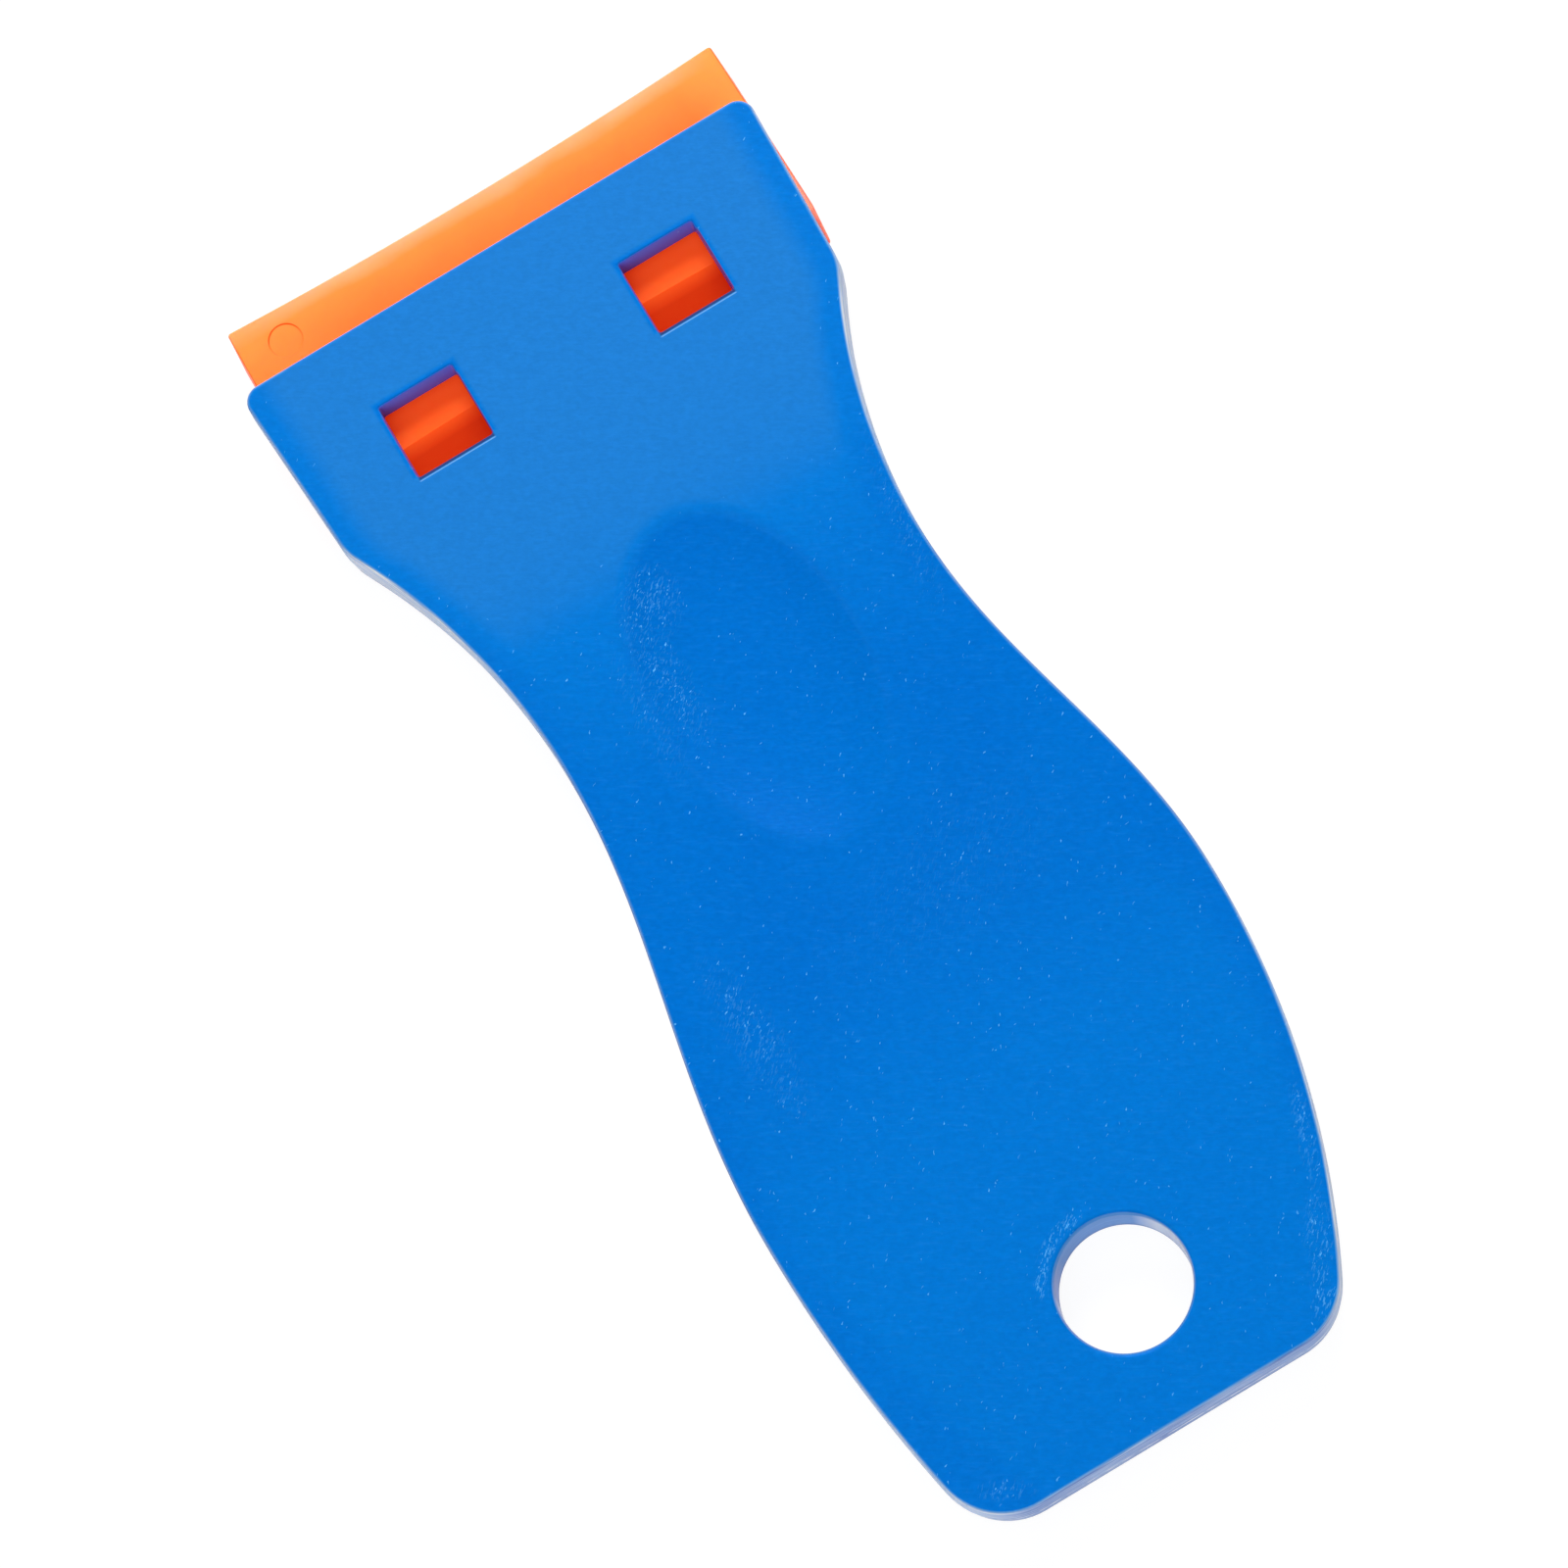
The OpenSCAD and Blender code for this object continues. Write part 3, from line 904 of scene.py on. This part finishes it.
# %% Where the nicks are
# Each worn place has a middle, two radii, a turn in degrees and a density
SCUFFED = (
    ((-3.6, 57.4), (2.6, 3.2), -30, 0.5),
    ((-5.2, 52.0), (1.9, 6.5), 0, 0.36),
    ((-7.6, 50.5), (1.8, 6.5), -4, 0.2),
    ((12.3, -4.6), (1.1, 4.8), -27, 0.6),
    ((15.5, 2.4), (0.8, 4.8), -19, 0.45),
    ((10.9, -7.9), (1.9, 1.0), 30, 0.8),
    ((14.4, 53.0), (1.4, 9.0), -10, 0.22),
    ((-12.6, 27.0), (2.2, 8.0), 4, 0.26),
    ((4.0, 30.0), (13.0, 6.0), 10, 0.08),
    ((-13.8, -7.6), (2.6, 0.8), -29, 0.4),
)
THIN_DENSITY = 0.028
CROWD_CELL = (0.9, 0.9, 0.9)
RUBBED_R = 5.5

thinly = add(tree, "MapRange", {"Value": to_matt_sheen, "From Max": 0.6, "To Min": THIN_DENSITY, "To Max": 0.0})
places_worn = 0.0
for centre, radii, turned, share in SCUFFED:
    worn = patch(tree, place, centre, radii, 0.9, turned)
    worn = add(tree, "Math", {0: worn, 1: share}, operation="MULTIPLY")
    places_worn = add(tree, "Math", {0: places_worn, 1: worn}, operation="MAXIMUM")

# Round the hole they follow a part of a circle, where a hook has rubbed
off_ring = off(tree, across(tree, place), RUBBED_R * MM)
rubbed = add(tree, "MapRange", {"Value": off_ring, "From Min": 0.55 * MM, "From Max": 0.15 * MM})
sector = patch(tree, place, (-3.4, 4.6), (3.7, 3.4), 0.35)
rubbed = add(tree, "Math", {0: rubbed, 1: sector}, operation="MULTIPLY")
places_worn = add(tree, "Math", {0: places_worn, 1: rubbed}, operation="MAXIMUM")
handled = add(tree, "Math", {0: places_worn, 1: 0.9}, operation="MULTIPLY")
handled = add(tree, "Math", {0: handled, 1: thinly}, operation="MAXIMUM")
crowds = unevenness(tree, place, CROWD_CELL)
crowded = add(tree, "MapRange", {"Value": crowds, "From Min": 0.45, "From Max": 0.62, "To Max": 1.8})
handled = add(tree, "Math", {0: handled, 1: crowded}, operation="MULTIPLY")

# %% The nicks
NICK_CELL = (0.34, 0.11, 0.3)
NICK_TURN = 42.0
BEND_CELL = (0.5, 0.5, 0.5)
BEND = 0.5
SCRATCH_CELL = (0.4, 0.12, 0.2)
bend = unevenness(tree, place, BEND_CELL).outputs["Color"]
bend = add(tree, "VectorMath", {0: bend, 1: (0.5, 0.5, 0.5)}, operation="SUBTRACT")
bend = add(tree, "VectorMath", {0: bend, "Scale": BEND * MM}, operation="SCALE")
bent = add(tree, "VectorMath", {0: place, 1: bend}, operation="ADD")
nick_cells = add(
    tree,
    "Mapping",
    {"Vector": bent, "Rotation": (0, 0, math.radians(NICK_TURN)), "Scale": [c * MM for c in NICK_CELL]},
    vector_type="TEXTURE",
)
voronoi = add(tree, "TexVoronoi", {"Vector": nick_cells, "Scale": 1.0}).outputs
dot = add(tree, "MapRange", {"Value": voronoi["Distance"], "From Min": 0.42, "From Max": 0.2})
chance = add(tree, "SeparateColor", {0: voronoi["Color"]}).outputs
shown = add(tree, "Math", {0: chance["Red"], 1: handled}, operation="LESS_THAN")
nicks_and_glints = add(tree, "Math", {0: dot, 1: shown}, operation="MULTIPLY")
strength = add(tree, "MapRange", {"Value": chance["Green"], "To Min": 0.1, "To Max": 0.9})
nicks_and_glints = add(tree, "Math", {0: nicks_and_glints, 1: strength}, operation="MULTIPLY")
scratches = unevenness(tree, place, SCRATCH_CELL, detail=4, turned=NICK_TURN)
scratches = add(tree, "MapRange", {"Value": scratches, "From Min": 0.54, "From Max": 0.66, "To Max": 0.7})
scratches = add(tree, "Math", {0: scratches, 1: places_worn}, operation="MULTIPLY")
nicks_and_glints = add(tree, "Math", {0: nicks_and_glints, 1: scratches}, operation="MAXIMUM")
# The bright colour of the nicks is a painted glint
glinting = add(tree, "Mix", {"Factor": nicks_and_glints, "A": blue, "B": "#64C0FF"}, data_type="RGBA")

# %% The handle's skin
ROUGH_POLISHED = 0.24
ROUGH_GRAINED = 0.5
ROUGH_FROSTED = 0.6
rough = add(tree, "MapRange", {"Value": grain_and_sheen, "To Min": ROUGH_POLISHED, "To Max": ROUGH_GRAINED})
rough = add(tree, "Mix", {"Factor": frosted_glow, "A": rough, "B": ROUGH_FROSTED}, data_type="FLOAT")
bump = add(tree, "Bump", {"Height": grain, "Strength": 0.3, "Distance": 0.02 * MM})
bump = add(tree, "Bump", {"Height": streaks, "Strength": 0.2, "Distance": 0.03 * MM, "Normal": bump})
bump = add(tree, "Bump", {"Height": nicks_and_glints, "Strength": 0.4, "Distance": 0.03 * MM, "Normal": bump})
skin = add(
    tree,
    "BsdfPrincipled",
    {
        "Base Color": glinting,
        "Roughness": rough,
        "IOR": 1.49,
        "Specular IOR Level": 0.3,
        "Specular Tint": "#2E7CFF",
        "Subsurface Weight": 0.15,
        "Subsurface Radius": (0.3, 0.6, 1.0),
        "Subsurface Scale": 0.8 * MM,
        "Normal": bump,
    },
)
add(tree, "OutputMaterial", {"Surface": skin})

# %% [markdown]
# ## The blade's plastic
#
# The blade is an orange plastic with much pigment, but only a millimetre thick, so the light
# from the white table glows through it. That light is painted into the colour: paler where the
# blade is thin, deeper where it is thick. The pigment is fluorescent: it gives back more red than
# falls on it, so the blade still looks bright red in the shade of the windows. A little emission
# stands in for that. Where the bevel thins the blade to nothing the painted light makes it pale
# and cloudy. That pale band follows the curve of the cutting edge, so it is worked out from the
# distance to that curve.

# %% How far a place lies behind the cutting edge
# The pale band wanders by so much, in cells of this size
WANDER = 0.7
WANDER_CELL = (5.0, 2.2, 2.0)

moulded_blade, tree = new_material("moulded_plastic_orange")
coordinates = add(tree, "TexCoord").outputs
place = coordinates["Object"]
split = add(tree, "SeparateXYZ", {0: place}).outputs
along_edge = add(
    tree,
    "MapRange",
    {"Value": split["X"], "From Min": blade_middle.x * MM, "From Max": (blade_middle.x + inner_l) * MM},
    clamp=False,
)
bow = add(tree, "Math", {0: along_edge, 1: 2.0}, operation="POWER")
edge_y = add(
    tree, "MapRange", {"Value": bow, "To Min": (blade_high.y - EDGE_SAG) * MM, "To Max": blade_high.y * MM}
)
behind = add(tree, "Math", {0: edge_y, 1: split["Y"]}, operation="SUBTRACT")
wander = unevenness(tree, place, WANDER_CELL, detail=3)
wander = add(tree, "MapRange", {"Value": wander, "To Min": -WANDER * MM, "To Max": WANDER * MM})
behind = add(tree, "Math", {0: behind, 1: wander}, operation="ADD")

# %% The blade's colour
# Painted light through the blade: pale near the cutting edge, deeper orange where it is thick
thick = add(tree, "MapRange", {"Value": behind, "From Min": 0.5 * MM, "From Max": 5.5 * MM})
orange = add(tree, "Mix", {"Factor": thick, "A": "#FF9E46", "B": "#FF782E"}, data_type="RGBA")

# It is pale where the edge is thin, painted light shining through, a little yellower near both
# ends, and redder under the head, a painted shade. Each starts at one place and is full at the
# next.
for value, starts, full, share, shade in (
    (behind, 1.3, 0.0, 0.8, "#FBC092"),
    (split["X"], blade_low.x + 9, blade_low.x + 2, 0.5, "#FFA04C"),
    (split["X"], blade_high.x - 4, blade_high.x - 0.3, 0.9, "#FFA64E"),
    (behind, 6.0, 9.0, 1.0, "#FF6E24"),
):
    ends = {"Value": value, "From Min": starts * MM, "From Max": full * MM, "To Max": share}
    zone = add(tree, "MapRange", ends)
    orange = add(tree, "Mix", {"Factor": zone, "A": orange, "B": shade}, data_type="RGBA")

# The bevels get a painted shade, deeper in colour, and most so away from their crease
normal = add(tree, "SeparateXYZ", {0: coordinates["Normal"]}).outputs
tilt = add(tree, "Math", {0: normal["Y"]}, operation="ABSOLUTE")
bevel_shade = add(tree, "MapRange", {"Value": tilt, "From Min": 0.2, "From Max": 0.32})
off_centre = add(tree, "Math", {0: split["Y"], 1: blade_middle.y * MM}, operation="SUBTRACT")
past_centre = add(tree, "Math", {0: off_centre}, operation="ABSOLUTE")
to_edge = add(tree, "Math", {0: edge_y, 1: blade_middle.y * MM}, operation="SUBTRACT")
to_edge = add(tree, "Math", {0: to_edge, 1: past_centre}, operation="SUBTRACT")
down_bevel = add(
    tree,
    "MapRange",
    {"Value": to_edge, "From Min": BEVEL_W * MM, "From Max": (BEVEL_W - 1.0) * MM, "To Min": 0.3},
)
bevel_shade = add(tree, "Math", {0: bevel_shade, 1: down_bevel}, operation="MULTIPLY")

# The ends get painted light, pale between the bevels, and a painted shade, a deep red line,
# where the corner of the moulding is
off_middle = off(tree, split["X"], blade_middle.x * MM)
end_painted_light = add(
    tree,
    "MapRange",
    {
        "Value": off_middle,
        "From Min": (BLADE_L / 2 - 0.6) * MM,
        "From Max": BLADE_L / 2 * MM,
        "To Max": 0.6,
    },
)
beside_head = patch(tree, place, (blade_middle.x, blade_middle.y - 4.3), (100, 7), 0.4)
end_painted_light = add(tree, "Math", {0: end_painted_light, 1: beside_head}, operation="MULTIPLY")
end_at = add(
    tree,
    "MapRange",
    {
        "Value": off_centre,
        "From Min": -(BLADE_W / 2 - BEVEL_W) * MM,
        "From Max": BLADE_W / 2 * MM,
        "To Min": (BLADE_L / 2 + END_FLARE) * MM,
        "To Max": BLADE_L / 2 * MM,
    },
)
to_end = add(tree, "Math", {0: end_at, 1: off_middle}, operation="SUBTRACT")
end_shade_line = add(
    tree, "MapRange", {"Value": to_end, "From Min": 0.12 * MM, "From Max": 0.05 * MM, "To Max": 0.6}
)

# %% The painted shade on the rim of the ejector pin's mark, strongest on the side away from the handle
pin_place = add(
    tree, "VectorMath", {0: place, 1: (pin_centre[0] * MM, pin_centre[1] * MM, 0)}, operation="SUBTRACT"
)
off_pin_rim = off(tree, across(tree, pin_place), PIN_R * MM)
pin_rim_shade = add(
    tree, "MapRange", {"Value": off_pin_rim, "From Min": 0.1 * MM, "From Max": 0.04 * MM, "To Max": 0.7}
)
pin_split = add(tree, "SeparateXYZ", {0: pin_place}).outputs
upper = add(
    tree,
    "MapRange",
    {"Value": pin_split["Y"], "From Min": -0.8 * MM, "From Max": 1.0 * MM, "To Min": 0.06},
)
pin_rim_shade = add(tree, "Math", {0: pin_rim_shade, 1: upper}, operation="MULTIPLY")

# Lay the painted shade and light of the bevels, the ends and the mark over the orange
for share, shade in (
    (bevel_shade, "#B43A06"),
    (end_painted_light, "#FFC8B0"),
    (end_shade_line, "#C83A1E"),
    (pin_rim_shade, "#E0661A"),
):
    orange = add(tree, "Mix", {"Factor": share, "A": orange, "B": shade}, data_type="RGBA")

# %% The blade's skin
BLADE_CELL = (0.3, 0.3, 0.3)
grain = unevenness(tree, place, BLADE_CELL, detail=3)
bump = add(tree, "Bump", {"Height": grain, "Strength": 0.15, "Distance": 0.02 * MM})
rough = add(tree, "MapRange", {"Value": grain, "To Min": 0.32, "To Max": 0.42})
skin = add(
    tree,
    "BsdfPrincipled",
    {
        "Base Color": orange,
        "Roughness": rough,
        "IOR": 1.5,
        "Specular IOR Level": 0.3,
        "Specular Tint": "#FFC090",
        "Subsurface Weight": 0.5,
        "Subsurface Radius": (1.0, 0.25, 0.05),
        "Subsurface Scale": 0.8 * MM,
        "Emission Color": "#FF2000",
        "Emission Strength": 0.44,
        "Normal": bump,
    },
)
add(tree, "OutputMaterial", {"Surface": skin})

# %% Dress the pieces
for piece, material, node, slot_name in (
    (handle, moulded_pp, "handle", "blue_polypropylene"),
    (blade, moulded_blade, "blade", "orange_plastic"),
):
    piece.data.materials.clear()
    piece.data.materials.append(material)
    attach(piece, node)
    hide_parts(node)
    print(piece.name, "replaces", node)

# %% [markdown]
# ## Table and light
#
# The photograph was taken on white, with soft light from beyond the blade. The table is a pale
# sheet. To the camera it also glows a little, so that it reads as white without more light on
# the tool, and it still keeps a faint shadow. The same holds for what the plastic reflects.

# %% The white table
TABLE_HALF = 2000.0
TABLE_GAP = 0.01
FIBRE_CELL = (0.8, 0.8, 0.8)

matt_white, tree = new_material("matt_white_sheet")
path = add(tree, "LightPath").outputs
seen = path["Is Camera Ray"]
for other in ("Is Glossy Ray", "Is Transmission Ray"):
    seen = add(tree, "Math", {0: seen, 1: path[other]}, operation="MAXIMUM")
place = add(tree, "TexCoord").outputs["Object"]
fibres = unevenness(tree, place, FIBRE_CELL, detail=3)
paper_white = add(tree, "Mix", {"Factor": fibres, "A": "#EAEAEA", "B": "#F0F0F0"}, data_type="RGBA")
paper = add(tree, "BsdfDiffuse", {"Color": paper_white})
dim_paper = add(tree, "BsdfDiffuse", {"Color": "#626262"})
glow = add(tree, "Emission", {"Color": "#FFFFFF", "Strength": 0.93})
both = add(tree, "AddShader", {0: dim_paper, 1: glow})
mixed = add(tree, "MixShader", {0: seen, 1: paper, 2: both})
add(tree, "OutputMaterial", {"Surface": mixed})

table_z = UNDERSIDE_Z - TABLE_GAP
corners = [
    Vector((sx * TABLE_HALF, sy * TABLE_HALF, table_z)) * MM
    for sx, sy in ((-1, -1), (1, -1), (1, 1), (-1, 1))
]
sheet = bpy.data.meshes.new("table_sheet")
sheet.from_pydata(corners, [], [(0, 1, 2, 3)])
sheet.materials.append(matt_white)
table = placed("table_sheet", sheet)

# %% The surroundings
ROOM_LIGHT = 0.2
world = bpy.data.worlds.new("white_studio")
bpy.context.scene.world = world
world.use_nodes = True
tree = world.node_tree
tree.nodes.clear()
room = add(tree, "Background", {"Color": "#FFFFFF", "Strength": ROOM_LIGHT})
add(tree, "OutputWorld", {"Surface": room})


# %% Soft lamps
def soft_box(name, at, towards, size, watts):
    """A square soft lamp, placed and aimed in millimetres."""
    lamp = bpy.data.lights.new(name, "AREA")
    lamp.size = size * MM
    lamp.energy = watts
    aim = (Vector(towards) - Vector(at)).to_track_quat("-Z", "Y")
    placed(name, lamp).matrix_world = Matrix.Translation(Vector(at) * MM) @ aim.to_matrix().to_4x4()


soft_box("soft_box_far", (190, 560, 470), (0, 45, 0), 360, 4.9)
soft_box("soft_box_low", (-190, -450, 310), (0, 20, 0), 400, 1.4)
soft_box("soft_box_above", (-80, 60, 780), (0, 40, 0), 500, 1.0)

# %% [markdown]
# ## Camera
#
# The camera looks down from above the hanging hole's end, turned so that the tool lies across
# the frame. Its place was fitted to the windows, the hole and the head's front edge in the
# photograph, so the same edges and walls show here.

# %% Place the camera
CAMERA_AT = Vector((-6.5, -52.1, 347.7))
CAMERA_AIM = Vector((-2.1, 41.3, 2.3))
CAMERA_ROLL = math.radians(-31.2)
PHOTO_WIDTH = 1600
FOCAL_PX = 5356
SENSOR_MM = 36.0
NEAR_CLIP = 10.0

camera = placed("camera", bpy.data.cameras.new("camera"))
camera.data.sensor_width = SENSOR_MM
camera.data.lens = SENSOR_MM * FOCAL_PX / PHOTO_WIDTH
camera.data.clip_start = NEAR_CLIP * MM
forward = (CAMERA_AIM - CAMERA_AT).normalized()
right = forward.cross(Vector((0, 1, 0))).normalized()
up = right.cross(forward)
turned_right = right * math.cos(CAMERA_ROLL) + up * math.sin(CAMERA_ROLL)
turned_up = up * math.cos(CAMERA_ROLL) - right * math.sin(CAMERA_ROLL)
axes = Matrix((turned_right, turned_up, -forward)).transposed()
camera.matrix_world = Matrix.Translation(CAMERA_AT * MM) @ axes.to_4x4()
bpy.context.scene.camera = camera
bpy.context.scene.view_settings.view_transform = "Standard"
